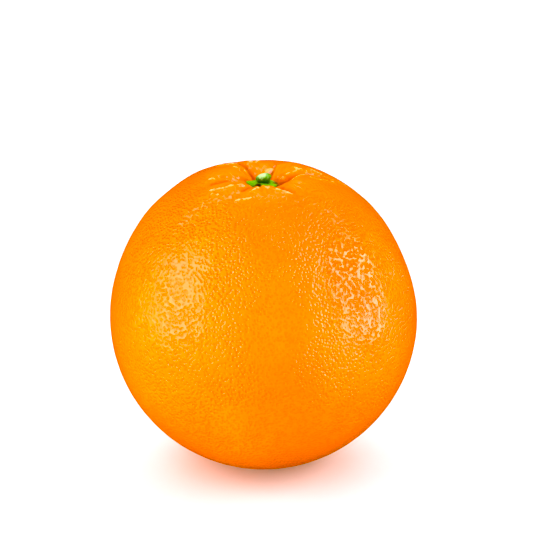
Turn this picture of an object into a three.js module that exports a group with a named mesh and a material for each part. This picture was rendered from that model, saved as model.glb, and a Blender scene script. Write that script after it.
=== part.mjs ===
// A whole orange standing on its own small flat spot, stem end up. The rind is one solid: a round body
// with a dimple at the stem end, furrows that run out of the dimple between soft lobes, a crown that is
// higher at one shoulder, and pitted skin. A five-lobed calyx lies in the dimple, and the short end of
// the cut stem stands in the hole in its middle. Millimetres, +Z up, origin at the middle of the flat
// spot. Azimuths are degrees round the stem from +X towards +Y, so the front of the fruit is at -90.
import * as THREE from "three";
import { mergeVertices } from "three/addons/utils/BufferGeometryUtils.js";

// The rind's round body
const FRUIT_WIDTH = 78;
const FRUIT_RADIUS = FRUIT_WIDTH / 2;
const FOOT_RADIUS = 8.5; // the flat spot that the fruit stands on
const STEM_LEAN = 4; // degrees that the stem end leans to the front
const CENTRE_HEIGHT = Math.sqrt(FRUIT_RADIUS ** 2 - FOOT_RADIUS ** 2);

// The dimple at the stem end
const DIMPLE_DEPTH = 4.4;
const DIMPLE_SPREAD = 6.4; // the distance from the stem where it has lost about two thirds of its depth
const DIMPLE_POWER = 1.8; // over 1 gives it a round floor

// Broad swellings and flats of the body. Each is placed by its azimuth and its distance from the stem
// along the skin, and reaches out to "size" with a soft fall.
const SWELLINGS = [
  { azimuth: 148, distance: 24, size: 31, rise: 1.25 }, // the high shoulder, behind on the left
  { azimuth: 155, distance: 27.5, size: 9, rise: -0.4 }, // a flat on it
  { azimuth: 58, distance: 19, size: 18, rise: 0.7 }, // a lower shoulder, behind on the right
  { azimuth: 19, distance: 33, size: 19, rise: 0.6 }, // and its outer end
  { azimuth: 8, distance: 41, size: 26, rise: -0.65 }, // the flatter flank on the right
  { azimuth: -95, distance: 5.2, size: 4.8, rise: 0.1 }, // the lip before the calyx
  { azimuth: -172, distance: 4.8, size: 4.2, rise: -1.2 }, // the hollows that the side lobes lie in
  { azimuth: -10, distance: 4.6, size: 3.6, rise: -0.9 },
  { azimuth: 170, distance: 11, size: 7, rise: 0.6 }, // soft lobes between the furrows
  { azimuth: 42, distance: 10, size: 6.5, rise: 0.6 },
  { azimuth: -18, distance: 11, size: 7, rise: 0.5 },
];

// Furrows that run out of the dimple. "turn" is how far the azimuth drifts along the furrow's reach.
const FURROW_START = 3.4;
const FURROW_WIDTH = 2.8; // from the bottom of a furrow to its brim
const FURROWS = [
  { azimuth: -159, reach: 16, depth: 1.5, turn: -3 },
  { azimuth: -120, reach: 13, depth: 1.1, turn: 3 },
  { azimuth: -50, reach: 14, depth: 1.6, turn: -7 },
  { azimuth: 7, reach: 18, depth: 1.5, turn: 9 },
  { azimuth: 68, reach: 12, depth: 1.2, turn: 3 },
  { azimuth: 127, reach: 15, depth: 1.5, turn: -9 },
];
// A furrow is pressed in by strokes of growing length, so it is deepest beside the stem.
const STROKES = [
  { share: 0.4, part: 0.4 },
  { share: 0.7, part: 0.35 },
  { share: 1, part: 0.25 },
];

// Pitted skin, larger than life: a real pit is about a quarter as wide
const SKIN_DETAIL = 22; // edges along each side of the icosahedron's faces, less one
const GATHER = 0.36; // how far the skin's points are drawn towards the stem end, for its furrows
const PIT_DEPTH = 0.42;
const PIT_DEPTH_LEAST = 0.55; // the shallowest pit, as a share of the deepest
const SMOOTH_CROWN = 7; // no pits nearer to the stem than this
const SMOOTH_FOOT = 3.5; // nor nearer to the flat spot's rim than this
const PIT_SEED = 20;

// The calyx lies on the skin, and "length" is from the stem's axis to a lobe's tip.
const CLEARANCE = 0.35;
const CALYX_LOBES = [
  { azimuth: 180, length: 4.5 },
  { azimuth: 280, length: 3.2 },
  { azimuth: 326, length: 4.2 },
  { azimuth: 12, length: 4.5 },
  { azimuth: 100, length: 3.8 },
];
const LOBE_HALF_WIDTH = 37; // degrees
const LOBE_POINT = 1.05; // over 1 draws the lobes out to points
const CALYX_NOTCH = 2.45; // distance from the stem to the notches between lobes
const CALYX_HOLE = 1.85;
const CALYX_COLLAR = 0.85; // thickness round the stem
const CALYX_BLADE = 0.6; // thickness of the lobes
const CALYX_STEPS = 80;
const CALYX_RINGS = 5;

// The cut end of the stem: a shaft in the calyx's hole, and a bud that swells over it
const STEM_RADIUS = 1.5;
const STEM_HEIGHT = 2.4;
const STEM_SIDES = 24;
const STEM_OVAL = 0.86; // its depth from front to back, as a share of its width
const BUD_RADIUS = 2.05;
// The bud's round shoulder and its slightly hollow cut face: shares of its radius, and of the stem's height
const BUD_OUTLINE = [
  [0.97, 0.54],
  [1, 0.66],
  [0.93, 0.8],
  [0.76, 0.91],
  [0.5, 0.98],
  [0.22, 1],
  [0, 0.98],
];

const radians = THREE.MathUtils.degToRad;

// How a press of the skin fades with distance: 1 at its middle, 0 at its brim.
const softFall = (distance, size) => {
  const left = Math.max(0, 1 - distance / size);
  return left * left * (3 - 2 * left);
};
const sharpFall = (distance, size) => Math.max(0, 1 - distance / size) ** 2;

// The unit vector that points from the fruit's centre to a place on its skin.
const directionTo = (azimuth, distance) => {
  const polar = distance / FRUIT_RADIUS;
  return new THREE.Vector3(
    Math.sin(polar) * Math.cos(radians(azimuth)),
    Math.sin(polar) * Math.sin(radians(azimuth)),
    Math.cos(polar),
  );
};

const dimpleAt = (distance) =>
  DIMPLE_DEPTH * Math.exp(-((distance / DIMPLE_SPREAD) ** DIMPLE_POWER));

// The crown as a flat map: how far a skin point lies from the stem, and which way.
const mapPoint = (azimuth, distance) =>
  new THREE.Vector2(
    distance * Math.cos(radians(azimuth)),
    distance * Math.sin(radians(azimuth)),
  );

const distanceToLine = (point, start, end) => {
  const along = end.clone().sub(start);
  const share = point.clone().sub(start).dot(along) / along.lengthSq();
  const nearest = start.clone().addScaledVector(along, Math.min(1, Math.max(0, share)));
  return nearest.distanceTo(point);
};

const strokesOf = ({ azimuth, reach, depth, turn }) =>
  STROKES.map(({ share, part }) => ({
    start: mapPoint(azimuth, FURROW_START),
    end: mapPoint(azimuth + turn * share, reach * share),
    depth: depth * part,
  }));
const CROWN_STROKES = FURROWS.flatMap(strokesOf);

const furrowAt = (point) =>
  CROWN_STROKES.reduce(
    (sum, { start, end, depth }) =>
      sum + depth * sharpFall(distanceToLine(point, start, end), FURROW_WIDTH),
    0,
  );

// The body with its dimple and swellings, in the frame of the stem's axis with the fruit's centre at the
// origin.
const bodyPoint = (direction) => {
  const polar = Math.acos(THREE.MathUtils.clamp(direction.z, -1, 1));
  const distance = polar * FRUIT_RADIUS;
  const point = direction.clone().multiplyScalar(FRUIT_RADIUS - dimpleAt(distance));
  const round = point.clone();
  for (const swelling of SWELLINGS) {
    const towards = directionTo(swelling.azimuth, swelling.distance);
    const from = towards.clone().multiplyScalar(FRUIT_RADIUS).distanceTo(round);
    point.addScaledVector(towards, swelling.rise * softFall(from, swelling.size));
  }
  return { point, distance };
};

// The smooth skin: the body with its furrows pressed in.
const skinPoint = (azimuth, direction) => {
  const { point, distance } = bodyPoint(direction);
  point.z -= furrowAt(mapPoint(azimuth, distance));
  return { point, distance };
};

// A small repeatable source of random numbers from 0 to 1.
const randomFrom = (seed) => {
  let state = seed;
  return () => {
    state = (state + 0x6d2b79f5) | 0;
    let mixed = Math.imul(state ^ (state >>> 15), 1 | state);
    mixed = (mixed + Math.imul(mixed ^ (mixed >>> 7), 61 | mixed)) ^ mixed;
    return ((mixed ^ (mixed >>> 14)) >>> 0) / 2 ** 32;
  };
};

// Which points of the skin are pits: taken in a random order, a point is one if none beside it is.
const choosePits = (count, triangles, random) => {
  const beside = Array.from({ length: count }, () => new Set());
  for (let i = 0; i < triangles.length; i += 3) {
    const corners = [triangles[i], triangles[i + 1], triangles[i + 2]];
    for (const a of corners) for (const b of corners) if (a !== b) beside[a].add(b);
  }
  const order = Array.from({ length: count }, (_, i) => ({ i, at: random() })).sort(
    (a, b) => a.at - b.at,
  );
  const depths = new Float32Array(count);
  for (const { i } of order) {
    if ([...beside[i]].every((other) => depths[other] === 0)) {
      depths[i] = PIT_DEPTH * THREE.MathUtils.lerp(PIT_DEPTH_LEAST, 1, random());
    }
  }
  return depths;
};

const bareGeometry = (geometry) => {
  geometry.deleteAttribute("normal");
  geometry.deleteAttribute("uv");
  return mergeVertices(geometry, 1e-5);
};

// The rind: a ball of even triangles, drawn towards the stem end, then shaped point by point.
const rindGeometry = () => {
  const geometry = bareGeometry(new THREE.IcosahedronGeometry(1, SKIN_DETAIL));
  const positions = geometry.attributes.position;
  const pits = choosePits(positions.count, geometry.index.array, randomFrom(PIT_SEED));
  const lean = new THREE.Matrix4().makeRotationX(radians(STEM_LEAN));
  for (let i = 0; i < positions.count; i += 1) {
    const even = new THREE.Vector3().fromBufferAttribute(positions, i).normalize();
    const evenPolar = Math.acos(THREE.MathUtils.clamp(even.z, -1, 1));
    const polar = evenPolar - GATHER * Math.sin(evenPolar);
    const azimuth = THREE.MathUtils.radToDeg(Math.atan2(even.y, even.x));
    const direction = directionTo(azimuth, polar * FRUIT_RADIUS);
    const { point, distance } = skinPoint(azimuth, direction);
    point.applyMatrix4(lean);
    const belowFoot = point.z < -CENTRE_HEIGHT;
    const fromFoot = Math.hypot(point.x, point.y) - FOOT_RADIUS;
    const nearFoot = point.z < 0 && fromFoot < SMOOTH_FOOT;
    if (distance > SMOOTH_CROWN && !nearFoot) {
      point.addScaledVector(direction.applyMatrix4(lean), -pits[i]);
    }
    if (belowFoot) point.z = -CENTRE_HEIGHT;
    positions.setXYZ(i, point.x, point.y, point.z + CENTRE_HEIGHT);
  }
  return geometry;
};

// The height of the body over the fruit's centre, at a place beside the stem's axis. The body is known by
// direction, so the aim is corrected until it meets that place.
const AIM_ROUNDS = 6;
const bodyHeight = (place) => {
  const aim = place.clone();
  let height = 0;
  for (let round = 0; round < AIM_ROUNDS; round += 1) {
    const up = Math.sqrt(FRUIT_RADIUS ** 2 - aim.lengthSq());
    const { point } = bodyPoint(new THREE.Vector3(aim.x, aim.y, up).normalize());
    aim.add(place).sub(new THREE.Vector2(point.x, point.y));
    height = point.z;
  }
  return height;
};

// The calyx's outline: the longest lobe that reaches this azimuth, or else the notch.
const calyxReach = (azimuth) =>
  CALYX_LOBES.reduce((reach, lobe) => {
    const off = Math.abs(((azimuth - lobe.azimuth + 540) % 360) - 180) / LOBE_HALF_WIDTH;
    const point = Math.max(0, 1 - off) ** LOBE_POINT;
    return Math.max(reach, CALYX_NOTCH + (lobe.length - CALYX_NOTCH) * point);
  }, CALYX_NOTCH);

// The calyx: rings of points from its hole out to its lobes, one sheet over the rind and one on top.
const calyxGeometry = () => {
  const points = [];
  for (const top of [0, 1]) {
    for (let ring = 0; ring <= CALYX_RINGS; ring += 1) {
      for (let step = 0; step < CALYX_STEPS; step += 1) {
        const azimuth = (360 * step) / CALYX_STEPS;
        const across = THREE.MathUtils.lerp(CALYX_HOLE, calyxReach(azimuth), ring / CALYX_RINGS);
        const place = mapPoint(azimuth, across);
        const collar = softFall(across - CALYX_HOLE, CALYX_NOTCH - CALYX_HOLE);
        const thick = THREE.MathUtils.lerp(CALYX_BLADE, CALYX_COLLAR, collar);
        points.push(place.x, place.y, bodyHeight(place) + CLEARANCE + top * thick);
      }
    }
  }
  const faces = [];
  const at = ([top, ring], step) =>
    (top * (CALYX_RINGS + 1) + ring) * CALYX_STEPS + (step % CALYX_STEPS);
  // A closed strip of triangles between two rings, each given as its sheet and its number.
  const strip = (inner, outer) => {
    for (let step = 0; step < CALYX_STEPS; step += 1) {
      const corner = at(inner, step);
      const across = at(outer, step + 1);
      faces.push(corner, at(outer, step), across);
      faces.push(corner, across, at(inner, step + 1));
    }
  };
  for (let ring = 0; ring < CALYX_RINGS; ring += 1) {
    strip([1, ring], [1, ring + 1]);
    strip([0, ring + 1], [0, ring]);
  }
  strip([1, CALYX_RINGS], [0, CALYX_RINGS]);
  strip([0, 0], [1, 0]);
  const geometry = new THREE.BufferGeometry();
  geometry.setAttribute("position", new THREE.Float32BufferAttribute(points, 3));
  geometry.setIndex(faces);
  return geometry;
};

// The stem's end: a short shaft that swells into the bud.
const stemGeometry = () => {
  const outline = [
    new THREE.Vector2(0, 0),
    new THREE.Vector2(STEM_RADIUS, 0),
    new THREE.Vector2(STEM_RADIUS, CALYX_COLLAR + CLEARANCE),
    ...BUD_OUTLINE.map(
      ([across, up]) => new THREE.Vector2(across * BUD_RADIUS, up * STEM_HEIGHT),
    ),
  ];
  const geometry = bareGeometry(new THREE.LatheGeometry(outline, STEM_SIDES));
  geometry.rotateX(Math.PI / 2); // the lathe turns about Y, and the stem stands along Z
  geometry.scale(1, STEM_OVAL, 1);
  return geometry;
};

// The stem's foot clears the highest point of the body under it.
const stemFoot = () => {
  const round = Array.from({ length: STEM_SIDES }, (_, side) => (360 * side) / STEM_SIDES);
  return Math.max(...round.map((azimuth) => bodyHeight(mapPoint(azimuth, STEM_RADIUS)))) + CLEARANCE;
};

const meshOf = (name, geometry, color, roughness) => {
  const material = new THREE.MeshStandardMaterial({ color, roughness, metalness: 0 });
  const mesh = new THREE.Mesh(geometry, material);
  mesh.name = name;
  return mesh;
};

const orange = new THREE.Group();
orange.add(meshOf("rind", rindGeometry(), "#ff8a00", 0.38));

// The calyx and stem are drawn about the stem's own axis, which leans about the fruit's centre.
const crown = new THREE.Group();
crown.position.z = CENTRE_HEIGHT;
crown.rotation.x = radians(STEM_LEAN);
crown.add(meshOf("calyx", calyxGeometry(), "#5cc414", 0.45));
const stem = meshOf("stem_end", stemGeometry(), "#8cc84a", 0.4);
stem.position.z = stemFoot();
crown.add(stem);
orange.add(crown);

export default orange;
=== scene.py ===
# %% [markdown]
# # An orange on a white table
#
# This lesson builds the looks of one whole orange round a solid model of it that is already packed. The
# solid model says where everything is and how big it is. Here each of its three pieces is modelled again
# with a finer surface, gets a finish of its own, and is lit as in a small product studio.
#
# The pieces are the rind with its pits and furrows, the green calyx, and the cut end of the stem.
# Lengths are given in millimetres, and MM turns them into Blender's metres.

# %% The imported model
import math
import random

import bmesh
import bpy
from mathutils import Matrix, Quaternion, Vector
from mathutils.bvhtree import BVHTree
from mathutils.kdtree import KDTree


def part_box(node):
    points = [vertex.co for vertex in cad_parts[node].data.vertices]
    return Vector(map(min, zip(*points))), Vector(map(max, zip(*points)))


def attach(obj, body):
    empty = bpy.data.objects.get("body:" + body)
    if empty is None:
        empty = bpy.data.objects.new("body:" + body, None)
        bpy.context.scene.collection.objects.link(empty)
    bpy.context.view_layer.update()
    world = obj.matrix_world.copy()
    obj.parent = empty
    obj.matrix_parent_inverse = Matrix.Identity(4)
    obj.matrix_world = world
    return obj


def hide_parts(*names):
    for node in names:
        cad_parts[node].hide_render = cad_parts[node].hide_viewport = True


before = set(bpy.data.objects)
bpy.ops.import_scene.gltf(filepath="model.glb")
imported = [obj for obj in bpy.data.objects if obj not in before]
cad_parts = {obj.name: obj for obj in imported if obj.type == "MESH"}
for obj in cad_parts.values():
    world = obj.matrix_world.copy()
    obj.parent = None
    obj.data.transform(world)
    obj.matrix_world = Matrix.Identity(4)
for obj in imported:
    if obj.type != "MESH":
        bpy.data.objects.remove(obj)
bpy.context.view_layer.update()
MM = 0.001
print("nodes of the solid model:", sorted(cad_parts))

# %% [markdown]
# ## Driving dimensions
#
# An orange is round, with a flat spot under it and a dimple at the stem end. The stem leans a little
# towards the camera. These few sizes are those of the solid model, so both fit each other.

# %% Sizes
FRUIT_RADIUS = 39 * MM
FOOT_RADIUS = 8.5 * MM
CENTRE = Vector((0, 0, math.sqrt(FRUIT_RADIUS**2 - FOOT_RADIUS**2)))
STEM_LEAN = math.radians(4)
LEAN = Matrix.Translation(CENTRE) @ Matrix.Rotation(STEM_LEAN, 4, "X") @ Matrix.Translation(-CENTRE)
low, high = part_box("rind")
print("width of the solid rind:", round((high.x - low.x) / MM, 2), "mm")

# %% [markdown]
# ## Camera
#
# The camera comes first, because everything else is judged through it. It is a long lens, slightly above
# the fruit. The fruit sits below the middle of a square picture, and instead of shifting the lens the
# camera is aimed a little above the fruit, so that it still frames the fruit well from other sides.

# %% Camera
PICTURE_SIDE = 533  # pixels
FRUIT_AT = (263.5, 315)  # the pixel where the middle of the fruit falls
LENS = 100  # millimetres, on a sensor 36 mm wide
SENSOR = 36
CAMERA_DISTANCE = 377.6 * MM
CAMERA_ELEVATION = math.radians(20)

focal_pixels = LENS / SENSOR * PICTURE_SIDE
aim_right = math.atan((PICTURE_SIDE / 2 - FRUIT_AT[0]) / focal_pixels)
aim_up = math.atan((FRUIT_AT[1] - PICTURE_SIDE / 2) / focal_pixels)
camera_place = CENTRE + CAMERA_DISTANCE * Vector(
    (0, -math.cos(CAMERA_ELEVATION), math.sin(CAMERA_ELEVATION))
)
bpy.ops.object.camera_add(
    location=camera_place,
    rotation=(math.radians(90) - CAMERA_ELEVATION + aim_up, 0, -aim_right),
)
camera = bpy.context.object
camera.data.lens = LENS
camera.data.sensor_width = SENSOR
camera.data.clip_start = 10 * MM
bpy.context.scene.camera = camera
print("camera aims", round(math.degrees(aim_up), 2), "degrees above the fruit's middle")

# %% [markdown]
# ## Small helpers for modelling by hand
#
# Every operator works on what is selected, so each step begins by choosing exactly the points it is meant
# for. These helpers do what a modeller does with the mouse: deselect everything, pick some points, press
# or pull them with proportional editing, apply a modifier, and shade a piece smooth.


# %% Helpers for modelling
def begin(name):
    """Deselects everything, so that the next primitive is alone. Returns a function that names it."""
    if bpy.context.object and bpy.context.object.mode != "OBJECT":
        bpy.ops.object.mode_set(mode="OBJECT")
    bpy.ops.object.select_all(action="DESELECT")

    def named():
        piece = bpy.context.object
        piece.name = piece.data.name = name
        return piece

    return named


def choose(piece, indices):
    """Selects these points of the piece and no others, in edit mode."""
    mesh = bmesh.from_edit_mesh(piece.data)
    mesh.verts.ensure_lookup_table()
    bpy.ops.mesh.select_all(action="DESELECT")
    for index in indices:
        mesh.verts[index].select = True
    mesh.select_flush_mode()
    bmesh.update_edit_mesh(piece.data)


def choose_where(piece, test):
    """Selects the points whose place passes the test, and says how many there are."""
    mesh = bmesh.from_edit_mesh(piece.data)
    indices = [vertex.index for vertex in mesh.verts if test(vertex.co)]
    choose(piece, indices)
    return len(indices)


def pull(move, size, falloff):
    """Moves the selection, and draws its surroundings along up to this distance."""
    bpy.ops.transform.translate(
        value=move,
        use_proportional_edit=True,
        proportional_edit_falloff=falloff,
        proportional_size=size,
    )


def apply_modifier(piece, kind, **settings):
    """Adds a modifier with these settings and makes its result the piece's own mesh."""
    bpy.context.view_layer.objects.active = piece
    modifier = piece.modifiers.new(kind.lower(), kind)
    for name, value in settings.items():
        setattr(modifier, name, value)
    bpy.ops.object.modifier_apply(modifier=modifier.name)


def shade_smooth(piece):
    for face in piece.data.polygons:
        face.use_smooth = True


def triangles(piece):
    return sum(len(face.vertices) - 2 for face in piece.data.polygons)


# %% [markdown]
# ## The rind's outline
#
# A fruit that grew round its stem is nearly a body of revolution, so half of its outline is drawn and
# spun. A ball primitive would also do, but its rings are evenly spaced. Here the rings lie closer together
# at the stem end, where the furrows and wrinkles are.
#
# The outline is an arc with a dimple: the radius gets smaller near the stem, by a bell curve.

# %% Outline of the rind
DIMPLE_DEPTH = 4.4 * MM
DIMPLE_SPREAD = 6.4 * MM
DIMPLE_POWER = 1.8
SPOKES = 200
CROWN_STEP = 0.42 * MM  # between rings near the stem
BODY_STEP = 1.37 * MM  # between rings elsewhere
CROWN_EDGE = 17 * MM  # where the rings begin to spread
CROWN_FADE = 10 * MM  # and how far that takes


def toward(azimuth, distance):
    """The direction to a place this far from the stem. Azimuth 0 is on the right and -90 in front."""
    polar = distance / FRUIT_RADIUS
    turn = math.radians(azimuth)
    return Vector(
        (math.sin(polar) * math.cos(turn), math.sin(polar) * math.sin(turn), math.cos(polar))
    )


def on_skin(azimuth, distance):
    dimple = DIMPLE_DEPTH * math.exp(-((distance / DIMPLE_SPREAD) ** DIMPLE_POWER))
    return CENTRE + toward(azimuth, distance) * (FRUIT_RADIUS - dimple)


def smooth(share):
    share = min(1, max(0, share))
    return share * share * (3 - 2 * share)


half_way_round = math.pi * FRUIT_RADIUS
rings = [0.0]
while rings[-1] < half_way_round - BODY_STEP:
    spread = smooth((rings[-1] - CROWN_EDGE) / CROWN_FADE)
    rings.append(rings[-1] + CROWN_STEP + (BODY_STEP - CROWN_STEP) * spread)
rings.append(half_way_round)
outline = [on_skin(0, distance) for distance in rings]
print(len(outline), "points from the stem to the foot")

# %% [markdown]
# The outline starts as one point: a plane merged to its middle. It is extruded from point to point and
# then spun round the stem's axis. Spinning leaves doubled points at the seam and at both poles. They are
# merged before the normals are recalculated, because the other way round some faces could stay inside out.

# %% Spin the rind
SAME_PLACE = 0.001 * MM  # points closer together than this are merged
NO_LENGTH = 0.0001 * MM  # and an edge shorter than this goes


def spin_outline(name, points, steps):
    """A closed body of revolution about the Z axis, from its half outline."""
    named = begin(name)
    bpy.ops.mesh.primitive_plane_add(size=MM)
    piece = named()
    bpy.ops.object.mode_set(mode="EDIT")
    bpy.ops.mesh.select_all(action="SELECT")
    bpy.ops.mesh.merge(type="CENTER")
    bpy.ops.transform.translate(value=points[0])
    for here, there in zip(points, points[1:]):
        bpy.ops.mesh.extrude_region_move(TRANSFORM_OT_translate={"value": there - here})
    bpy.ops.mesh.select_all(action="SELECT")
    bpy.ops.mesh.spin(steps=steps, angle=math.tau, center=(0, 0, 0), axis=(0, 0, 1))
    bpy.ops.mesh.select_all(action="SELECT")
    bpy.ops.mesh.remove_doubles(threshold=SAME_PLACE)
    bpy.ops.mesh.dissolve_degenerate(threshold=NO_LENGTH)
    bpy.ops.mesh.select_all(action="SELECT")
    bpy.ops.mesh.normals_make_consistent(inside=False)
    return piece


rind = spin_outline("orange_rind", outline, SPOKES)
print("rind before shaping:", len(bmesh.from_edit_mesh(rind.data).faces), "faces")

# %% [markdown]
# ## Shoulders and flats
#
# No fruit is perfectly round. This one has a high shoulder behind on the left, a lower one on the right,
# a flatter right flank, a lip that stands up just before the calyx, and a hollow on either side of it. Each
# is one point of the mesh pulled out or pushed in, with proportional editing and the smooth falloff.

# %% Shoulders and flats
# azimuth round the stem in degrees, distance from the stem, reach and rise in millimetres
SWELLINGS = [
    {"azimuth": 148, "distance": 24, "size": 31, "rise": 1.25},
    {"azimuth": 155, "distance": 27.5, "size": 9, "rise": -0.4},
    {"azimuth": 58, "distance": 19, "size": 18, "rise": 0.7},
    {"azimuth": 19, "distance": 33, "size": 19, "rise": 0.6},
    {"azimuth": 8, "distance": 41, "size": 26, "rise": -0.65},
    {"azimuth": -95, "distance": 5.2, "size": 4.8, "rise": 0.1},
    {"azimuth": -172, "distance": 4.8, "size": 4.2, "rise": -0.65},
    {"azimuth": -10, "distance": 4.6, "size": 3.6, "rise": -0.9},
    {"azimuth": 170, "distance": 11, "size": 7, "rise": 0.6},
    {"azimuth": 42, "distance": 10, "size": 6.5, "rise": 0.6},
    {"azimuth": -18, "distance": 11, "size": 7, "rise": 0.5},
]


def places_of(piece):
    """A tree that finds the point of the piece nearest to a place."""
    mesh = bmesh.from_edit_mesh(piece.data)
    tree = KDTree(len(mesh.verts))
    for vertex in mesh.verts:
        tree.insert(vertex.co, vertex.index)
    tree.balance()
    return tree


round_places = places_of(rind)
for swelling in SWELLINGS:
    out = toward(swelling["azimuth"], swelling["distance"] * MM)
    choose(rind, [round_places.find(CENTRE + out * FRUIT_RADIUS)[1]])
    pull(out * swelling["rise"] * MM, swelling["size"] * MM, "SMOOTH")
print(len(SWELLINGS), "swellings")

# %% [markdown]
# ## Strokes on the crown
#
# Round the stem the skin is folded into furrows, wrinkles and thin ridges, and each of them is a line. A
# stroke selects the points along a line and pushes them down with the sharp falloff, which leaves a narrow
# valley with rounded banks, or pulls them up into a ridge. A noise texture would fold the skin as well, but
# a line that is placed one by one can follow the real fruit.

# %% Strokes
STROKE_STEP = 0.4  # millimetres between the places of a line


def map_point(azimuth, distance):
    """A point of the crown's flat map, with the stem in the middle."""
    turn = math.radians(azimuth)
    return Vector((distance * math.cos(turn), distance * math.sin(turn)))


def skin_line(knots):
    """Places along the round skin, through these points of the crown's flat map in millimetres."""
    line = []
    for start, end in zip(knots, knots[1:]):
        steps = max(2, round((end - start).length / STROKE_STEP))
        for step in range(steps + 1):
            place = start.lerp(end, step / steps)
            azimuth = math.degrees(math.atan2(place.y, place.x))
            line.append(on_skin(azimuth, place.length * MM))
    return line


def press_line(piece, places, line, move, width):
    """Presses a valley along a line of places."""
    choose(piece, {places.find(place)[1] for place in line})
    pull(move, width, "SHARP")


def stroke(knots, depth, width):
    """Presses a valley into the crown, or raises a ridge if the depth is below zero."""
    press_line(rind, crown_places, skin_line(knots), (0, 0, -depth * MM), width * MM)


crown_places = places_of(rind)
print("a stroke has a place every", STROKE_STEP, "mm")

# %% [markdown]
# Creases get painted shade and ridges get painted glints, paler than the skin beside them, and the ridges
# are also smoother. To let the finish follow both, the mesh keeps how near each point is to a line: the
# attribute fold for creases, and crest for ridges. A painted picture would need the skin to be unwrapped
# first, and this doesn't.


# %% Paint
def paint(layer, knots, width):
    """Raises an attribute of the mesh near a line: 1 on the line and 0 this far from it."""
    mesh = bmesh.from_edit_mesh(rind.data)
    mesh.verts.ensure_lookup_table()
    share = mesh.verts.layers.float[layer]
    for place in skin_line(knots):
        nearest = crown_places.find(place)[0]
        for _, index, away in crown_places.find_range(nearest, width * MM):
            vertex = mesh.verts[index]
            vertex[share] = max(vertex[share], 1 - away / (width * MM))
    bmesh.update_edit_mesh(rind.data)


rind_mesh = bmesh.from_edit_mesh(rind.data)
rind_mesh.verts.layers.float.new("crest")
rind_mesh.verts.layers.float.new("fold")
print("attributes of the rind:", rind_mesh.verts.layers.float.keys())
bmesh.update_edit_mesh(rind.data)

# %% [markdown]
# ## Furrows
#
# Furrows run out of the dimple between soft lobes, deepest beside the stem and fading outwards. Each one
# is pressed in with three strokes of growing length, and a last, narrower stroke makes the crease along its
# bottom.

# %% Furrows
# azimuths and turns in degrees, everything else in millimetres
FURROW_START = 3.4  # distance from the stem
FURROW_WIDTH = 2.8
FURROWS = [
    {"azimuth": -159, "reach": 16, "depth": 1.5, "turn": -3, "crease": 0.5},
    {"azimuth": -120, "reach": 13, "depth": 1.1, "turn": 3, "crease": 0.6},
    {"azimuth": -50, "reach": 14, "depth": 1.6, "turn": -7, "crease": 1.2},
    {"azimuth": 7, "reach": 18, "depth": 1.5, "turn": 9, "crease": 0.9},
    {"azimuth": 68, "reach": 12, "depth": 1.2, "turn": 3, "crease": 0.35},
    {"azimuth": 127, "reach": 15, "depth": 1.3, "turn": -9, "crease": 0.5},
]
STROKES = [(0.4, 0.4), (0.7, 0.35), (1, 0.25)]  # share of the reach, part of the depth
CREASE_REACH = 0.85  # share of the furrow's reach
CREASE_WIDTH = 0.9
# azimuths and distances of a line of painted shade behind the lip
LIP_SHADE = [(-69, 8.9), (-62, 10.7), (-55, 12.5)]

for furrow in FURROWS:
    start = map_point(furrow["azimuth"], FURROW_START)
    for share, part in STROKES:
        end = map_point(furrow["azimuth"] + furrow["turn"] * share, furrow["reach"] * share)
        stroke([start, end], furrow["depth"] * part, FURROW_WIDTH)
    end = map_point(furrow["azimuth"] + furrow["turn"] * CREASE_REACH, furrow["reach"] * CREASE_REACH)
    stroke([start, end], furrow["crease"], CREASE_WIDTH)
    paint("fold", [start, end], CREASE_WIDTH)
paint("fold", [map_point(*place) for place in LIP_SHADE], CREASE_WIDTH)
print(len(FURROWS) * (len(STROKES) + 1), "strokes for the furrows")

# %% [markdown]
# Between the furrows the skin is drawn into finer wrinkles, which are too many to place one by one. They
# are drawn at random from a fixed seed, so that the fruit is the same each time.

# %% Fine wrinkles
WRINKLES = 56
WRINKLE_SEED = 7
wrinkle_dice = random.Random(WRINKLE_SEED)
for number in range(WRINKLES):
    azimuth = 360 * (number + wrinkle_dice.uniform(-0.4, 0.4)) / WRINKLES
    begins = wrinkle_dice.uniform(2.6, 9)
    ends = begins + wrinkle_dice.uniform(2.5, 7)
    turned = azimuth + wrinkle_dice.uniform(-10, 10)
    depth = wrinkle_dice.uniform(0.18, 0.42)
    stroke([map_point(azimuth, begins), map_point(turned, ends)], depth, wrinkle_dice.uniform(0.7, 1.2))
print(WRINKLES, "wrinkles")

# %% [markdown]
# Some folds stand up as thin ridges: along the lip before the calyx, behind it on the horizon, and fanned
# out over the right shoulder. A real ridge is never straight, so it strays a little at every step. Each one
# is a single stroke, because two strokes that meet would raise the skin twice where they meet.

# %% Thin ridges
# each ridge is a chain of azimuths and distances from the stem, in degrees and millimetres
RIDGES = [
    [(150, 13.2), (139, 11.6), (128, 10.9)],
    [(116, 10.8), (104, 10.6), (97, 11.4)],
    [(143, 9.3), (138, 7.8), (132, 6.6)],
    [(80, 5.6), (74, 7.2), (67, 8.8)],
    [(34, 8.9), (28, 9.6)],
    [(26, 4.8), (26, 7.5), (24, 11.0)],
    [(23, 11.6), (7, 12.2), (3, 13.6)],
    [(27, 12.6), (22, 14.9), (16, 17.8), (14, 22)],
    [(-6, 11.8), (-1, 14.6), (8, 18.9)],
    [(-8, 5.5), (-2, 8), (4, 11)],
    [(-58, 13.1), (-65, 11.7), (-73, 10.3), (-80, 9.0), (-89, 7.9), (-99, 9.0), (-106, 11.2)],
    [(-103, 14.2), (-109, 15.1), (-115, 15.8)],
    [(-127, 8.1), (-132, 10.2), (-140, 12.2)],
    [(-140, 12.7), (-145, 14.3), (-149, 15.6)],
    [(-135, 15.3), (-142, 16.1)],
    [(-169, 12.1), (-171, 14.3)],
]
RIDGE_HEIGHT = 0.4
RIDGE_WIDTH = 0.95
RIDGE_STEP = 1.2  # between strays
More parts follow.
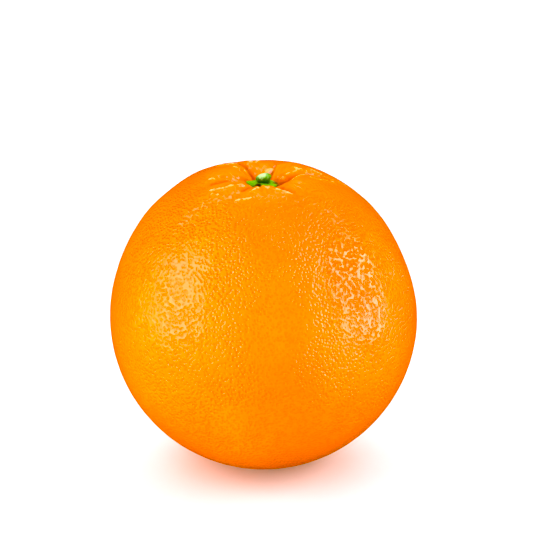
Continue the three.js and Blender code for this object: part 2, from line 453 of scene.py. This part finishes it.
RIDGE_STRAY = 0.2
RIDGE_SEED = 5

ridge_dice = random.Random(RIDGE_SEED)
for chain in RIDGES:
    knots = []
    corners = [map_point(*place) for place in chain]
    for start, end in zip(corners, corners[1:]):
        pieces = max(1, round((end - start).length / RIDGE_STEP))
        for number in range(pieces):
            stray = Vector((ridge_dice.uniform(-1, 1), ridge_dice.uniform(-1, 1))) * RIDGE_STRAY
            knots.append(start.lerp(end, number / pieces) + stray)
    knots.append(corners[-1])
    stroke(knots, -RIDGE_HEIGHT * ridge_dice.uniform(0.8, 1.2), RIDGE_WIDTH)
    paint("crest", knots, RIDGE_WIDTH)
print(len(RIDGES), "ridges")

# %% [markdown]
# ## Lean and flat spot
#
# The whole fruit is tipped so that the stem end leans to the front. Then every point below the table is
# scaled flat onto it, which is what a fruit's own weight does to its underside.

# %% Lean and flat spot
bpy.ops.mesh.select_all(action="SELECT")
bpy.ops.transform.rotate(value=-STEM_LEAN, orient_axis="X", center_override=CENTRE)
pressed = choose_where(rind, lambda place: place.z < 0)
bpy.ops.transform.resize(value=(1, 1, 0), center_override=(0, 0, 0))
bpy.ops.object.mode_set(mode="OBJECT")
print(pressed, "points pressed flat")

# %% [markdown]
# ## One class for node maths
#
# Both the dents in the mesh and the finishes are worked out with nodes. Instead of placing each node by
# hand, a small class wraps a socket, so that node maths reads like maths: `1 - mask` or `height * 0.5` adds
# the Math node that does it. Any other node comes from `make`, and the few that are used again and again
# have a short name of their own.


# %% Node maths
def math_operator(operation, turned=False):
    def apply(self, other):
        first, second = (other, self) if turned else (self, other)
        return self.make("ShaderNodeMath", {"operation": operation}, {0: first, 1: second})

    return apply


class Wire:
    """A socket of a node tree that Python's operators work on."""

    def __init__(self, tree, socket=None):
        self.tree = tree
        self.socket = socket

    def make(self, kind, settings=None, inputs=None, output=0):
        """Adds a node. Its settings are set first, then each socket gets a value or a link."""
        node = self.tree.nodes.new(kind)
        for name, value in (settings or {}).items():
            setattr(node, name, value)
        for name, value in (inputs or {}).items():
            if isinstance(value, Wire):
                self.tree.links.new(value.socket, node.inputs[name])
            else:
                node.inputs[name].default_value = value
        return Wire(self.tree, node.outputs[output] if node.outputs else None)

    __add__ = math_operator("ADD")
    __radd__ = math_operator("ADD", turned=True)
    __sub__ = math_operator("SUBTRACT")
    __rsub__ = math_operator("SUBTRACT", turned=True)
    __mul__ = math_operator("MULTIPLY")
    __rmul__ = math_operator("MULTIPLY", turned=True)

    def between(self, low, high):
        """0 at low, 1 at high, with a soft start and end. Low may be above high."""
        settings = {"interpolation_type": "SMOOTHSTEP"}
        return self.make("ShaderNodeMapRange", settings, {"Value": self, "From Min": low, "From Max": high})

    def colour(self, low, high):
        """A colour from low, where this is 0, to high, where it is 1."""
        return self.make("ShaderNodeMix", {"data_type": "RGBA"}, {0: self, 6: low, 7: high}, 2)

    def distance(self, point):
        """How far this place is from a point, in metres."""
        return self.make("ShaderNodeVectorMath", {"operation": "DISTANCE"}, {0: self, 1: point}, "Value")

    def length(self):
        """How long this vector is, in metres."""
        return self.make("ShaderNodeVectorMath", {"operation": "LENGTH"}, {0: self}, "Value")

    def height(self):
        """How high this place is above the table, in metres."""
        return self.make("ShaderNodeSeparateXYZ", None, {0: self}, "Z")

    def vector(self, operation, other):
        return self.make("ShaderNodeVectorMath", {"operation": operation}, {0: self, 1: other})

    def noise(self, per_metre, detail):
        """Cloudy noise round 0.5, with about this many clouds to the metre."""
        return self.make("ShaderNodeTexNoise", None, {"Vector": self, "Scale": per_metre, "Detail": detail})

    def attribute(self, name):
        return self.make("ShaderNodeAttribute", {"attribute_name": name}, output="Fac")

    def bump(self, strength, height):
        """A normal from a height in millimetres."""
        inputs = {"Strength": strength, "Distance": MM, "Height": height}
        return self.make("ShaderNodeBump", None, inputs)


# %% [markdown]
# ## Pits in the skin
#
# Each pit lies over an oil gland. The glands are scattered about a millimetre apart, and a Voronoi texture
# gives just that: its distance is 0 over each scattered point and grows away from it. Because the texture
# fills space and the skin only cuts through it, some pits come out wide and deep and others faint.
#
# The pits are too fine for the mesh and are left to the finish. They lie in dents that are broader and very
# shallow, and those are pressed into the mesh itself.

# %% The pits as node maths
PITS_PER_METRE = 1 / (0.74 * MM)
DENTS_PER_METRE = 1 / (2.6 * MM)
PIT_REACH = 0.7  # how far a pit reaches from its middle, in cells of the texture
PIT_FLOOR = 0.1  # and how far its flat bottom does
DENT_REACH = 0.85
STEM_POINT = LEAN @ Vector((0, 0, CENTRE.z + FRUIT_RADIUS - DIMPLE_DEPTH))


def cells(place, per_metre):
    """The distance to the nearest scattered point, in cells of the texture."""
    inputs = {"Vector": place, "Scale": per_metre, "Randomness": 1.0}
    return place.make("ShaderNodeTexVoronoi", {"voronoi_dimensions": "3D"}, inputs, "Distance")


def pit_mask(place):
    """1 in the middle of a pit and 0 on the smooth skin."""
    return cells(place, PITS_PER_METRE).between(PIT_REACH, PIT_FLOOR)


def dent_mask(place):
    """The same for the broad, shallow dents that the pits lie in."""
    return cells(place, DENTS_PER_METRE).between(DENT_REACH, 0.0)


# %% [markdown]
# One level of subdivision gives the mesh its final points. A geometry modifier then moves each point along
# its normal by the depth of the dent that it is in. Sculpting by hand would do as well, but not evenly over
# the whole fruit.

# %% Press the dents in
DENT_DEPTH = 0.05 * MM

apply_modifier(rind, "SUBSURF", levels=1, render_levels=1)
relief = bpy.data.node_groups.new("skin relief", "GeometryNodeTree")
relief.interface.new_socket("Skin", in_out="INPUT", socket_type="NodeSocketGeometry")
relief.interface.new_socket("Skin", in_out="OUTPUT", socket_type="NodeSocketGeometry")
wires = Wire(relief)
skin = wires.make("NodeGroupInput")
normal = wires.make("GeometryNodeInputNormal")
rise = dent_mask(wires.make("GeometryNodeInputPosition")) * DENT_DEPTH * -1
inward = wires.make("ShaderNodeVectorMath", {"operation": "SCALE"}, {"Vector": normal, "Scale": rise})
moved = wires.make("GeometryNodeSetPosition", None, {"Geometry": skin, "Offset": inward})
wires.make("NodeGroupOutput", None, {0: moved})
apply_modifier(rind, "NODES", node_group=relief)
shade_smooth(rind)
print("rind:", triangles(rind), "triangles")

# %% [markdown]
# ## The calyx
#
# The calyx is the little green star that held the flower and now holds the fruit. It has five lobes that
# lie in the dimple, each of its own length. It starts as a circle round the stem, which is extruded
# outwards, and each lobe is then drawn out of its own stretch of the rim. Its hole is smaller than the one
# in the solid model, because here the bud may cut into it, and no orange skin should show between the two.

# %% Draw the calyx flat
CALYX_HOLE = 1.36 * MM
CALYX_NOTCH = 1.8 * MM  # distance from the stem to the notches between lobes
# azimuth in degrees, length in millimetres, and how round the tip is: below 1 it is drawn out to a point
CALYX_LOBES = [
    {"azimuth": 178, "length": 5.3, "round": 0.6},
    {"azimuth": 288, "length": 3.3, "round": 2},
    {"azimuth": 322, "length": 4.0, "round": 2},
    {"azimuth": 5, "length": 4.4, "round": 1.2},
    {"azimuth": 100, "length": 3.8, "round": 1.2},
]
LOBE_HALF_WIDTH = 40  # degrees
CALYX_STEPS = 80
CALYX_RINGS = 6
CALYX_GAP = 0.2 * MM
CALYX_THICK = 0.5 * MM
COLLAR_EDGE = CALYX_HOLE * 1.5
COLLAR_RISE = 0.3 * MM
COLLAR_SIZE = 1.1 * MM
ABOVE = 10 * MM  # the star is dropped from this far above the fruit


def calyx_reach(azimuth):
    """How far the calyx reaches from the stem in this direction."""
    reach = CALYX_NOTCH
    for lobe in CALYX_LOBES:
        # the angle between the two directions, from 0 to 180 degrees, as a share of the half width
        off = abs((azimuth - lobe["azimuth"] + 540) % 360 - 180) / LOBE_HALF_WIDTH
        point = max(0, 1 - off**lobe["round"])
        reach = max(reach, CALYX_NOTCH + (lobe["length"] * MM - CALYX_NOTCH) * point)
    return reach


named = begin("calyx_star")
bpy.ops.mesh.primitive_circle_add(vertices=CALYX_STEPS, radius=CALYX_HOLE)
calyx = named()
bpy.ops.object.mode_set(mode="EDIT")
for ring in range(1, CALYX_RINGS + 1):
    bpy.ops.mesh.extrude_region_move()
    mesh = bmesh.from_edit_mesh(calyx.data)
    for vertex in (v for v in mesh.verts if v.select):
        azimuth = math.degrees(math.atan2(vertex.co.y, vertex.co.x))
        across = CALYX_HOLE + (calyx_reach(azimuth) - CALYX_HOLE) * ring / CALYX_RINGS
        vertex.co.xy = vertex.co.xy.normalized() * across
    bmesh.update_edit_mesh(calyx.data)
bpy.ops.object.mode_set(mode="OBJECT")
print("calyx:", len(calyx.data.polygons), "faces, still flat")

# %% [markdown]
# The flat star is laid on the fruit: each point drops onto the skin below it. Straight under a lobe the
# skin may fall away into a furrow, so the star is smoothed a little afterwards, as a stiff leaf would span
# the gap. Then it gets its thickness and a low collar round the stem, and a subdivision rounds its edges.

# %% Lay the calyx on the skin
UP = LEAN.to_3x3() @ Vector((0, 0, 1))
skin_tree = BVHTree.FromObject(rind, bpy.context.evaluated_depsgraph_get())
for vertex in calyx.data.vertices:
    above = LEAN @ Vector((vertex.co.x, vertex.co.y, CENTRE.z + FRUIT_RADIUS + ABOVE))
    hit, _, _, _ = skin_tree.ray_cast(above, -UP)
    vertex.co = hit + UP * CALYX_GAP
apply_modifier(calyx, "SMOOTH", factor=0.5, iterations=3)
apply_modifier(calyx, "SOLIDIFY", thickness=CALYX_THICK, offset=1.0)
bpy.context.view_layer.objects.active = calyx
bpy.ops.object.mode_set(mode="EDIT")
bpy.ops.mesh.select_all(action="DESELECT")


def in_collar(place):
    """Whether this place is beside the hole, on the upper side."""
    flat = LEAN.inverted() @ place
    below, _, _, _ = skin_tree.ray_cast(place + UP * 0.01 * MM, -UP)
    return math.hypot(flat.x, flat.y) < COLLAR_EDGE and (place - below).length > CALYX_THICK


print(choose_where(calyx, in_collar), "points of the collar raised")
pull(UP * COLLAR_RISE, COLLAR_SIZE, "SMOOTH")
bpy.ops.object.mode_set(mode="OBJECT")
apply_modifier(calyx, "SUBSURF", levels=2, render_levels=2)
shade_smooth(calyx)
print("calyx:", triangles(calyx), "triangles")

# %% [markdown]
# ## The end of the stem
#
# The stem was cut short, and what is left is a fleshy bud with a slightly hollow face. It is a spun
# outline again, made oval, with shallow grooves down its flanks, and it leans over to one side. The middle
# of the solid stem tells how deep in the dimple it stands.

# %% Stem end
STEM_RADIUS = 1.5 * MM
STEM_HEIGHT = 2.4 * MM
STEM_OVAL = 0.86
NECK_TOP = 0.45  # share of the stem's height, where the shaft ends and the bud begins
BUD_RADIUS = 2.05 * MM
# shares of the bud's radius and of the stem's height
BUD_OUTLINE = [(0.97, 0.44), (1, 0.59), (0.93, 0.76), (0.76, 0.89), (0.5, 0.97), (0.22, 1), (0, 0.98)]
BUD_SKEW = Vector((0.5, 0, 0.1)) * MM  # how far its top leans over
BUD_SKEW_SIZE = 2 * MM
BUD_TILT = math.radians(9)  # and how far the whole bud does
BUD_MIDDLE = 0.6  # share of the stem's height
STEM_STEPS = 32
BUD_GROOVES = 9
GROOVE_SEED = 3
GROOVE_STEPS = 6
GROOVE_TOP = (0.7, 0.97)  # shares of the bud's radius and of the stem's height
GROOVE_FOOT = 0.55  # share of the stem's height
GROOVE_DEPTH = 0.3 * MM
GROOVE_WIDTH = 0.65 * MM

low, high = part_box("stem_end")
stem_middle = LEAN.inverted() @ ((low + high) / 2)
stem_foot = stem_middle.z - STEM_HEIGHT / 2
stem_outline = [Vector((0, 0, stem_foot)), Vector((STEM_RADIUS, 0, stem_foot))]
stem_outline.append(Vector((STEM_RADIUS, 0, stem_foot + NECK_TOP * STEM_HEIGHT)))
for across, up in BUD_OUTLINE:
    stem_outline.append(Vector((across * BUD_RADIUS, 0, stem_foot + up * STEM_HEIGHT)))
stem = spin_outline("stem_end_cut", stem_outline, STEM_STEPS)
bpy.ops.mesh.select_all(action="SELECT")
bpy.ops.transform.resize(value=(1, STEM_OVAL, 1), center_override=CENTRE)
bpy.ops.object.mode_set(mode="OBJECT")
apply_modifier(stem, "SUBSURF", levels=1, render_levels=1)
bpy.ops.object.mode_set(mode="EDIT")
bud_places = places_of(stem)
bud_dice = random.Random(GROOVE_SEED)
for number in range(BUD_GROOVES):
    turn = math.tau * (number + bud_dice.uniform(-0.3, 0.3)) / BUD_GROOVES
    out = Vector((math.cos(turn), math.sin(turn), 0))
    upper = out * BUD_RADIUS * GROOVE_TOP[0] + Vector((0, 0, stem_foot + GROOVE_TOP[1] * STEM_HEIGHT))
    lower = out * BUD_RADIUS + Vector((0, 0, stem_foot + GROOVE_FOOT * STEM_HEIGHT))
    line = [upper.lerp(lower, step / GROOVE_STEPS) for step in range(GROOVE_STEPS + 1)]
    press_line(stem, bud_places, line, out * -GROOVE_DEPTH * bud_dice.uniform(0.5, 1), GROOVE_WIDTH)
choose(stem, [bud_places.find(Vector((0, 0, stem_foot + STEM_HEIGHT)))[1]])
pull(BUD_SKEW, BUD_SKEW_SIZE, "SMOOTH")
bpy.ops.mesh.select_all(action="SELECT")
bud_middle = Vector((0, 0, stem_foot + BUD_MIDDLE * STEM_HEIGHT))
bpy.ops.transform.rotate(value=BUD_TILT, orient_axis="Y", center_override=bud_middle)
bpy.ops.transform.rotate(value=-STEM_LEAN, orient_axis="X", center_override=CENTRE)
bpy.ops.object.mode_set(mode="OBJECT")
apply_modifier(stem, "SUBSURF", levels=1, render_levels=1)
shade_smooth(stem)
print("stem end:", triangles(stem), "triangles")

# %% [markdown]
# ## Finishes
#
# Every finish starts from one Principled shader and from Object coordinates, which stay with the piece. A
# picture wrapped round the fruit would do for one side, but node maths has no seam and no end.


# %% Helpers for finishes
def new_material(name):
    """A material with one Principled shader, and a wire to build the rest from."""
    material = bpy.data.materials.new(name)
    material.use_nodes = True
    shader = material.node_tree.nodes["Principled BSDF"]
    wires = Wire(material.node_tree)
    place = wires.make("ShaderNodeTexCoord", output="Object")
    return material, shader, place


def plug(shader, name, wire):
    """Feeds one of the shader's sockets."""
    wire.tree.links.new(wire.socket, shader.inputs[name])


# %% [markdown]
# An orange's skin is waxed and smooth between its pits. Its colour wanders a little between two oranges,
# and is deeper in the pits. Over this come painted light and shade: the crown is painted lighter, the
# dimple by the stem deeper orange, the creases red-brown and the skin right under the calyx near black, as
# painted shade, and the ridges pale in flecks, as painted glints. Each of these is laid over the one before
# by a mask, as glazes are.

# %% The rind's colour
ORANGE = (0.95, 0.19, 0.0, 1)
DEEP_ORANGE = (0.93, 0.155, 0.0, 1)
PIT_AND_DIMPLE_SHADE_ORANGE = (0.9, 0.12, 0.0, 1)
CROWN_LIGHT_ORANGE = (1.0, 0.25, 0.0, 1)
RIDGE_GLINT_ORANGE = (1.0, 0.58, 0.17, 1)
CREASE_SHADE_RED = (0.5, 0.035, 0.0, 1)
CALYX_SHADE_BLACK = (0.02, 0.008, 0.002, 1)

rind_finish, shader, place = new_material("orange peel")
pits = pit_mask(place)
from_stem = place.distance(STEM_POINT)
crown = from_stem.between(23 * MM, 8 * MM)
peel = place.noise(45.0, 3.0).between(0.35, 0.65).colour(ORANGE, DEEP_ORANGE)
# painted light: the crown is painted lighter, as if more light fell on the top
peel = (from_stem.between(16 * MM, 8 * MM) * 0.5).colour(peel, CROWN_LIGHT_ORANGE)
# painted shade: the dimple round the stem is darkened, as shade in a hollow
peel = (from_stem.between(7 * MM, 3 * MM) * 0.45).colour(peel, PIT_AND_DIMPLE_SHADE_ORANGE)
# painted shade along the creases and behind the lip
peel = (place.attribute("fold").between(0.1, 0.8) * 0.5).colour(peel, CREASE_SHADE_RED)
# painted shade: the skin right under the calyx is near black
peel = from_stem.between(3.1 * MM, 2.4 * MM).colour(peel, CALYX_SHADE_BLACK)
# painted glints: pale flecks along the ridges
crest = place.attribute("crest").between(0.35, 1.0)
glint_flecks = place.noise(900.0, 1.0).between(0.42, 0.6)
peel = (crest * glint_flecks).colour(peel, RIDGE_GLINT_ORANGE)
# the pits' own deeper colour over the oil glands, fainter on the crown
plug(shader, "Base Color", (pits * (1 - crown * 0.7) * 0.5).colour(peel, PIT_AND_DIMPLE_SHADE_ORANGE))
plug(shader, "Roughness", pits * 0.06 + crest * -0.06 + 0.16)

# %% [markdown]
# The pits are a bump, made from the same scattered cells as the dents. They aren't equally deep all over:
# deeper on the shoulders, and shallower on the crown, on one cheek and on a narrow stretch of the front.

# %% The rind's pits
PIT_DEPTH = 0.15  # millimetres, where the pits are least deep
PIT_CHANGE = 0.11  # and how much deeper they get in patches
CHEEK = CENTRE + Vector((-0.52, -0.73, 0.44)) * FRUIT_RADIUS
FRONT = CENTRE + Vector((0.07, -0.83, 0.55)) * FRUIT_RADIUS
ACROSS_FRONT = (2, 1, 1)  # makes the stretch of the front narrow from left to right

cheek = place.distance(CHEEK).between(15 * MM, 9 * MM)
from_front = place.vector("SUBTRACT", FRONT).vector("MULTIPLY", ACROSS_FRONT)
plain = from_front.length().between(29 * MM, 15 * MM)
shoulder = place.height().between(46 * MM, 60 * MM)
depth = place.noise(110.0, 1.0).between(0.3, 0.7) * PIT_CHANGE + PIT_DEPTH
depth = depth * (1 - crown * 0.9) * (shoulder * 0.5 + 1)
depth = depth * (1 - cheek * 0.35) * (1 - plain * 0.55)
plug(shader, "Normal", place.bump(1.0, pits * depth * -1))
shader.inputs["IOR"].default_value = 1.6
rind.data.materials.append(rind_finish)
print("orange peel:", len(rind_finish.node_tree.nodes), "nodes")

# %% [markdown]
# The calyx is a fresh leafy green with fine veins that run out from the stem, so its noise is looked up by
# direction alone. One lobe's tip has dried and turned brown, and one notch between two lobes is nearly
# black, as it lies in deep shade.

# %% The calyx's finish
LEAF_GREEN = (0.08, 0.5, 0.0, 1)
PALE_GREEN = (0.22, 0.6, 0.005, 1)
DRY_BROWN = (0.22, 0.11, 0.06, 1)
SHADED_NOTCH = LEAN @ Vector((-1.25 * MM, -1.75 * MM, STEM_POINT.z + 0.5 * MM))
DRY_TIP = LEAN @ Vector((4.2 * MM, 0.3 * MM, STEM_POINT.z + 1.3 * MM))


def outwards(place):
    """The direction of a place from the stem, as a point on a ball."""
    arm = place.vector("SUBTRACT", STEM_POINT)
    return arm.make("ShaderNodeVectorMath", {"operation": "NORMALIZE"}, {0: arm})


calyx_finish, shader, place = new_material("fresh calyx")
veins = outwards(place).noise(9.0, 3.0)
patches = place.noise(500.0, 2.0)
leaf = (veins * 0.6 + patches * 0.4).between(0.4, 0.62).colour(LEAF_GREEN, PALE_GREEN)
# painted shade: one notch between two lobes is near black
leaf = place.distance(SHADED_NOTCH).between(1.3 * MM, 0.7 * MM).colour(leaf, CALYX_SHADE_BLACK)
dry = place.distance(DRY_TIP).between(2.4 * MM, 1.3 * MM)
plug(shader, "Base Color", dry.colour(leaf, DRY_BROWN))
plug(shader, "Roughness", dry * 0.3 + 0.3)
plug(shader, "Normal", place.bump(0.8, veins * 0.25))
calyx.data.materials.append(calyx_finish)
print("fresh calyx:", len(calyx_finish.node_tree.nodes), "nodes")

# %% [markdown]
# The bud is green, with a pale painted highlight on its upper face and painted shade in dark green on its
# flanks and underside. The rim of the highlight is frayed by the same noise that gives the face its grain.

# %% The stem's finish
HIGHLIGHT_GREEN = (0.55, 0.8, 0.35, 1)
BUD_GREEN = (0.1, 0.38, 0.005, 1)
SHADE_GREEN = (0.02, 0.12, 0.0, 1)
# painted highlight: a pale patch round this point stands in for the bud's shine, and its rim strays by FRAY
HIGHLIGHT_PLACE = LEAN @ Vector((-0.35 * MM, -0.35 * MM, stem_foot + 1.02 * STEM_HEIGHT))
FLANK_FOOT = stem_foot + 0.5 * STEM_HEIGHT
FLANK_TOP = FLANK_FOOT + 0.9 * MM
FRAY = 1.4 * MM  # how far the rim of the cut face strays

stem_finish, shader, place = new_material("cut stem")
# painted shade: the bud's flanks and underside are darker green
shaded_flank = place.height().between(FLANK_FOOT, FLANK_TOP).colour(SHADE_GREEN, BUD_GREEN)
grain = place.noise(1100.0, 3.0)
# painted highlight: the pale patch on the bud's upper face
face = (place.distance(HIGHLIGHT_PLACE) + (grain - 0.5) * FRAY).between(1.55 * MM, 0.7 * MM)
plug(shader, "Base Color", (face * 0.85).colour(shaded_flank, HIGHLIGHT_GREEN))
plug(shader, "Roughness", grain * 0.2 + 0.15)
plug(shader, "Normal", place.bump(0.6, grain * 0.2))
stem.data.materials.append(stem_finish)
print("cut stem:", len(stem_finish.node_tree.nodes), "nodes")

# %% [markdown]
# ## Floor
#
# The fruit stands on a white table with a faint gloss, lit so brightly that it comes out pure white, apart
# from the shadow. Right beside the fruit the table is tinted warm, as painted bounce light from the peel.
# Further out it has a faint cool glow of painted light, which lifts the shadow's outer part so that it ends
# close to the fruit, and it glows fully where the lamps no longer reach, so that the far table stays white.
# Brighter lamps would whiten it too, but they would bleach the fruit. The fruit doesn't reflect the table.

# %% Floor
# lengths in metres; each pair is where a change begins and where it ends
FLOOR_SIZE = 4
BESIDE_FRUIT = (0.012, 0.032)
LAMPS_END = (0.4, 0.7)
WARM_BOUNCE_TABLE = (0.92, 0.86, 0.82, 1)
COOL_TABLE = (0.85, 0.88, 0.92, 1)
COOL_GLOW = (0.8, 1, 1, 1)
GLOW_SHARE = 0.14
BLACK = (0, 0, 0, 1)
WHITE = (1, 1, 1, 1)

named = begin("studio_floor")
bpy.ops.mesh.primitive_plane_add(size=FLOOR_SIZE)
floor = named()
floor.visible_glossy = False
floor_finish, shader, place = new_material("white floor")
shader.inputs["Roughness"].default_value = 0.35
away = place.length()
clear = away.between(*BESIDE_FRUIT)
# painted bounce light: the table is tinted warm right beside the fruit
plug(shader, "Base Color", clear.colour(WARM_BOUNCE_TABLE, COOL_TABLE))
# painted light: a faint cool glow that lifts the shadow's outer part
glow = (clear * GLOW_SHARE).colour(BLACK, COOL_GLOW)
plug(shader, "Emission Color", away.between(*LAMPS_END).colour(glow, WHITE))
shader.inputs["Emission Strength"].default_value = 1
floor.data.materials.append(floor_finish)
print("floor:", floor.dimensions.x, "m wide")

# %% [markdown]
# ## Lights
#
# Two softboxes stand left and right of the fruit, and both show in its skin: a small bright one on the
# left, which leaves a crisp patch of light, and a larger one on the right. A wide, dim screen behind the
# left one gives its patch a soft border, and a narrow strip behind the fruit glints on the ridges of its
# crown. The other panels only fill in and keep out of the reflections.
#
# A panel's brightness is the same whatever its size, so its power grows with its area.

# %% Lights
# azimuth 0 is in front of the fruit and 90 on its right; angles in degrees, lengths in metres
SOFTBOXES = {
    "left_softbox": {
        "azimuth": -68, "elevation": 19, "roll": 27, "away": 0.58, "size": (0.39, 0.6), "bright": 2.7,
    },
    "left_screen": {"azimuth": -76, "elevation": 20, "away": 0.62, "size": (0.72, 0.84), "bright": 0.9},
    "right_softbox": {
        "azimuth": 80, "elevation": 18, "roll": -15, "away": 0.6, "size": (0.46, 0.64), "bright": 5.8,
    },
    "back_strip": {"azimuth": 180, "elevation": 60, "away": 0.75, "size": (1.6, 0.05), "bright": 6.5},
}
FILLS = {
    "left_fill": {"azimuth": -64, "elevation": 2, "away": 0.6, "size": (0.5, 0.3), "bright": 7.8},
    "front_fill": {"azimuth": 0, "elevation": 3, "away": 0.6, "size": (0.6, 0.3), "bright": 3.4},
    "left_high_fill": {"azimuth": -60, "elevation": 50, "away": 0.9, "size": (0.6, 0.6), "bright": 1.2},
    "back_fill": {"azimuth": 180, "elevation": 38, "away": 0.9, "size": (1.2, 0.6), "bright": 3.4},
    "top_fill": {"azimuth": 0, "elevation": 89, "away": 1.2, "size": (2, 2), "bright": 0.62},
}


def light_panel(name, azimuth, elevation, away, size, bright, roll=0):
    """A glowing panel that faces the fruit."""
    begin(name)
    turn, rise = math.radians(azimuth), math.radians(elevation)
    out = Vector((math.sin(turn) * math.cos(rise), -math.cos(turn) * math.cos(rise), math.sin(rise)))
    place = CENTRE + out * away
    facing = out.to_track_quat("Z", "Y") @ Quaternion((0, 0, 1), math.radians(roll))
    bpy.ops.object.light_add(type="AREA", location=place, rotation=facing.to_euler())
    panel = bpy.context.object
    panel.name = name
    panel.data.shape = "RECTANGLE"
    panel.data.size, panel.data.size_y = size
    panel.data.energy = bright * math.pi * size[0] * size[1]
    panel.visible_camera = False
    return panel


for name, setting in SOFTBOXES.items():
    light_panel(name, **setting)
for name, setting in FILLS.items():
    light_panel(name, **setting).visible_glossy = False
print(len(SOFTBOXES) + len(FILLS), "panels")

# %% [markdown]
# ## World
#
# Behind the table the picture is plain white. A white world would also light the fruit from all sides and
# flatten it, so this one is seen by the camera alone.

# %% World
WORLD_BRIGHT = 1.05

world = bpy.data.worlds.new("white studio")
bpy.context.scene.world = world
world.use_nodes = True
background = world.node_tree.nodes["Background"]
camera_ray = Wire(world.node_tree).make("ShaderNodeLightPath", output="Is Camera Ray")
plug(background, "Strength", camera_ray * WORLD_BRIGHT)
background.inputs["Color"].default_value = WHITE
print("world seen by the camera:", WORLD_BRIGHT)

# %% [markdown]
# ## Picture
#
# A real orange is a deeper orange than a screen can show: its blue falls below zero, and a camera cuts it
# off there. The blue curve starts late in the same way, so the skin stays pure orange where it has no shine.

# %% Picture
BLUE_START = 0.065
view = bpy.context.scene.view_settings
view.view_transform = "Standard"
view.use_curve_mapping = True
blue = view.curve_mapping.curves[2]
blue.points.new(BLUE_START, 0)
for point in blue.points:
    point.handle_type = "VECTOR"
view.curve_mapping.update()
print("blue starts at", BLUE_START)

# %% [markdown]
# ## Hand over to the solid model
#
# The three pieces move with the one body of the part. Each takes the place of its solid, which is hidden
# but still carries the weight and the collision.

# %% Hand over to the solid model
for piece, node, slot in (
    (rind, "rind", "rind"),
    (calyx, "calyx", "calyx"),
    (stem, "stem_end", "stem"),
):
    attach(piece, "root")
    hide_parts(node)
